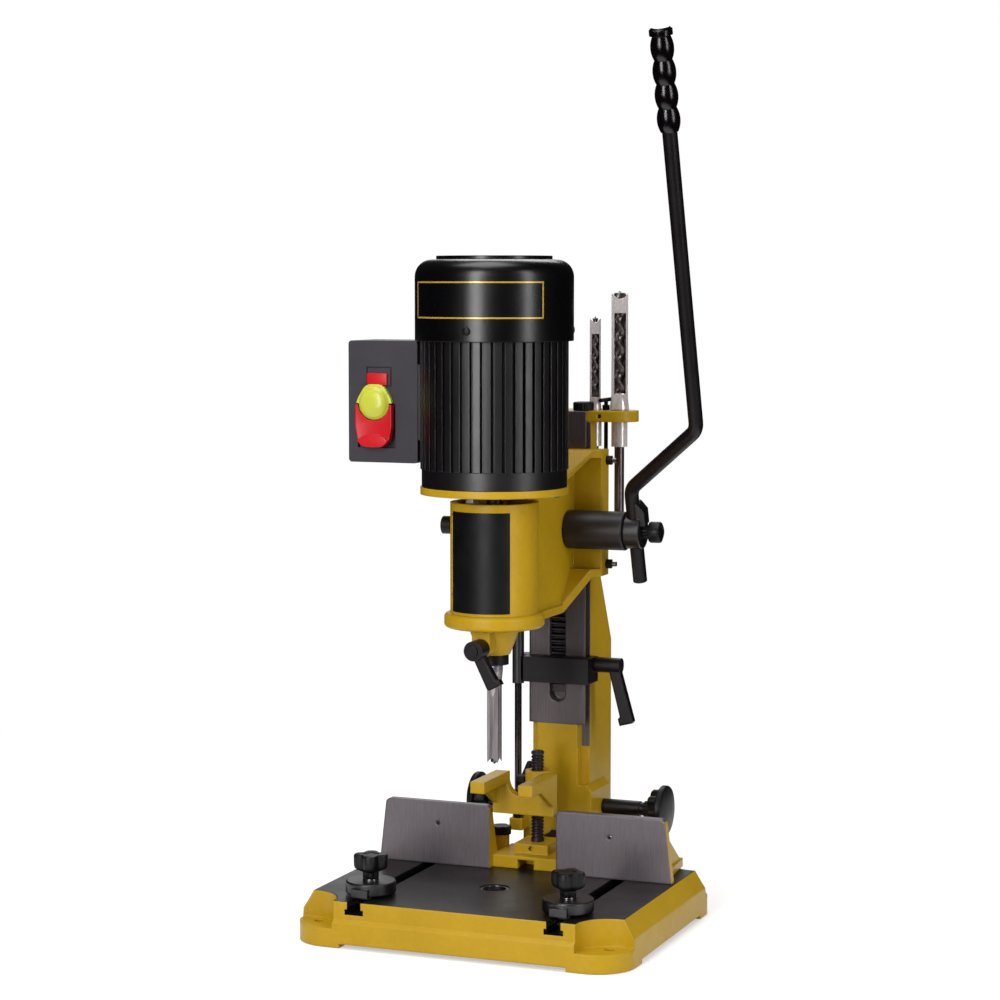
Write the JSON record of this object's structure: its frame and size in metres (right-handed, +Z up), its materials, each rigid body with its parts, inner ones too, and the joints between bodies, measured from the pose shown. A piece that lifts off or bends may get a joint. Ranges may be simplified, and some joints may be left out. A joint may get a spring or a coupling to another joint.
{
  "type": "hollow chisel mortiser",
  "caption": "Bench machine that cuts square holes: motor head with hollow chisel on a dovetail column, rack feed lever, slotted table, fence and forked hold-down.",
  "frame": {"origin": "centre of the four bench bolt holes, on the bench surface", "axes": "+X to the operator's right (lever side), +Y to the back (column), +Z up along the column"},
  "size_m": [0.4151, 0.458, 0.9973],
  "materials": {
    "casting_paint": "gloss mustard paint over cast iron",
    "black_paint": "semi-gloss black paint",
    "machined_steel": "machined, satin",
    "tool_steel": "ground tool steel",
    "black_steel": "black oxide",
    "black_plastic": "moulded, slightly glossy",
    "grip_rubber": "moulded grip",
    "switch_plastic": "fine grain",
    "red_plastic": "moulded",
    "yellow_plastic": "moulded",
    "bright_rod": "hard chrome",
    "brass_gib": "scraped",
    "iron_core": "laminated core"
  },
  "bodies": {
    "frame": {"base_casting": "casting_paint", "table_ring": "machined_steel", "column": "casting_paint", "column_bolts": "black_steel", "feed_rack": "machined_steel", "tool_holder": "casting_paint", "tool_holder_screws": "black_plastic", "gas_spring_rod": "bright_rod"},
    "head": {"head_casting": "casting_paint", "gib_strip": "brass_gib", "gib_screws": "black_steel", "motor_housing": "black_paint", "motor_end_shield": "black_paint", "fan_cover": "black_paint", "fan_cover_screws": "machined_steel", "motor_stator": "iron_core", "motor_bolts": "machined_steel", "motor_bearings": "bright_rod", "chisel_collar": "black_steel", "mortise_chisel": "tool_steel", "gas_spring_cylinder": "black_paint", "switch_box": "switch_plastic", "door_hinge_pin": "machined_steel"},
    "spindle": {"rotor_shaft": "iron_core", "cooling_fan": "black_plastic", "drill_chuck": "machined_steel", "auger_bit": "tool_steel"},
    "feed": {"feed_pinion": "machined_steel", "feed_shaft": "machined_steel", "feed_hub": "black_paint"},
    "lever": {"index_block": "black_paint", "feed_lever": "black_steel", "lever_grip": "grip_rubber"},
    "index_knob": {"index_knob": "black_plastic"},
    "chisel_clamp": {"chisel_clamp_lever": "black_steel"},
    "door": {"access_door": "casting_paint", "door_knob": "black_plastic"},
    "stop": {"stop_paddle": "red_plastic"},
    "key": {"safety_key": "yellow_plastic"},
    "depth_stop": {"depth_stop_block": "black_paint"},
    "depth_lever": {"depth_stop_lever": "black_steel"},
    "fence": {"fence": "casting_paint", "fence_rack": "black_steel", "hold_down_post": "black_steel"},
    "fence_drive": {"fence_shaft": "black_steel", "fence_knobs": "black_plastic"},
    "fence_lock": {"fence_lock_knob": "black_plastic"},
    "hold_down": {"hold_down_fork": "casting_paint"},
    "hold_down_lock": {"hold_down_lever": "black_steel"},
    "clamp_left": {"clamp_disc_left": "black_paint", "clamp_bolt_left": "machined_steel"},
    "clamp_right": {"clamp_disc_right": "black_paint", "clamp_bolt_right": "machined_steel"},
    "clamp_knob_left": {"clamp_knob_left": "black_plastic"},
    "clamp_knob_right": {"clamp_knob_right": "black_plastic"},
    "stored_large": {"stored_chisel_large": "tool_steel", "stored_bit_large": "tool_steel"},
    "stored_small": {"stored_chisel_small": "tool_steel", "stored_bit_small": "tool_steel"},
    "stored_key": {"chuck_key": "black_steel"}
  },
  "joints": [
    {"name": "head_slide", "type": "slide", "parent": "frame", "child": "head", "axis": [0, 0, 1], "range_m": [-0.097, 0], "stiffness_N_per_m": 700, "springref_m": 0.75},
    {"name": "feed_turn", "type": "hinge", "parent": "head", "child": "feed", "pos_m": [0, 0.13025, 0.441], "axis": [1, 0, 0], "range_deg": [-1, 156]},
    {"name": "lever_index", "type": "hinge", "parent": "feed", "child": "lever", "pos_m": [0.106, 0.13025, 0.441], "axis": [1, 0, 0], "range_deg": [-60, 90]},
    {"name": "index_knob_pull", "type": "slide", "parent": "lever", "child": "index_knob", "axis": [1, 0, 0], "range_m": [0, 0.008], "stiffness_N_per_m": 600, "springref_m": -0.005},
    {"name": "spindle_turn", "type": "hinge", "parent": "head", "child": "spindle", "pos_m": [0, -0.04, 0.45], "axis": [0, 0, 1], "continuous": true},
    {"name": "chisel_clamp_turn", "type": "hinge", "parent": "head", "child": "chisel_clamp", "pos_m": [0, -0.09, 0.32667], "axis": [0, 1, 0], "range_deg": [-60, 60]},
    {"name": "door_swing", "type": "hinge", "parent": "head", "child": "door", "pos_m": [-0.04075, -0.00457, 0.43], "axis": [0, 0, -1], "range_deg": [0, 100]},
    {"name": "stop_press", "type": "hinge", "parent": "head", "child": "stop", "pos_m": [-0.134, -0.057, 0.5893], "axis": [1, 0, 0], "range_deg": [0, 4], "stiffness_Nm_per_rad": 0.6, "springref_deg": -2.86},
    {"name": "key_pull", "type": "slide", "parent": "head", "child": "key", "axis": [0, -1, 0], "range_m": [0, 0.025]},
    {"name": "depth_stop_slide", "type": "slide", "parent": "frame", "child": "depth_stop", "axis": [0, 0, 1], "range_m": [-0.045, 0.075]},
    {"name": "depth_lever_turn", "type": "hinge", "parent": "depth_stop", "child": "depth_lever", "pos_m": [0.06, 0.1656, 0.278], "axis": [1, 0, 0], "range_deg": [-60, 60]},
    {"name": "fence_slide", "type": "slide", "parent": "frame", "child": "fence", "axis": [0, 1, 0], "range_m": [-0.075, 0.01]},
    {"name": "fence_drive_turn", "type": "hinge", "parent": "frame", "child": "fence_drive", "pos_m": [0, 0.204, 0.101], "axis": [1, 0, 0], "range_deg": [-165, 25]},
    {"name": "fence_lock_turn", "type": "hinge", "parent": "fence", "child": "fence_lock", "pos_m": [-0.05, 0.106, 0.085], "axis": [0, 0, 1], "range_deg": [-180, 180]},
    {"name": "hold_down_slide", "type": "slide", "parent": "fence", "child": "hold_down", "axis": [0, 0, 1], "range_m": [-0.038, 0.015]},
    {"name": "hold_down_lock_turn", "type": "hinge", "parent": "hold_down", "child": "hold_down_lock", "pos_m": [-0.018, 0.095, 0.146], "axis": [1, 0, 0], "range_deg": [-45, 60]},
    {"name": "clamp_left_slide", "type": "slide", "parent": "frame", "child": "clamp_left", "axis": [0, 1, 0], "range_m": [-0.03, 0.08]},
    {"name": "clamp_knob_left_turn", "type": "hinge", "parent": "clamp_left", "child": "clamp_knob_left", "pos_m": [-0.1168, -0.1175, 0.085], "axis": [0, 0, 1], "continuous": true},
    {"name": "clamp_right_slide", "type": "slide", "parent": "frame", "child": "clamp_right", "axis": [0, 1, 0], "range_m": [-0.03, 0.08]},
    {"name": "clamp_knob_right_turn", "type": "hinge", "parent": "clamp_right", "child": "clamp_knob_right", "pos_m": [0.1168, -0.1175, 0.085], "axis": [0, 0, 1], "continuous": true},
    {"name": "stored_large_lift", "type": "slide", "parent": "frame", "child": "stored_large", "axis": [0, 0, 1], "range_m": [0, 0.14]},
    {"name": "stored_small_lift", "type": "slide", "parent": "frame", "child": "stored_small", "axis": [0, 0, 1], "range_m": [0, 0.09]},
    {"name": "stored_key_lift", "type": "slide", "parent": "frame", "child": "stored_key", "axis": [0, 0, 1], "range_m": [0, 0.12]}
  ],
  "couplings": [
    {"joint": "feed_turn", "follows": "head_slide", "rad_per_m": -27.778},
    {"joint": "fence_drive_turn", "follows": "fence_slide", "rad_per_m": 37.037}
  ]
}
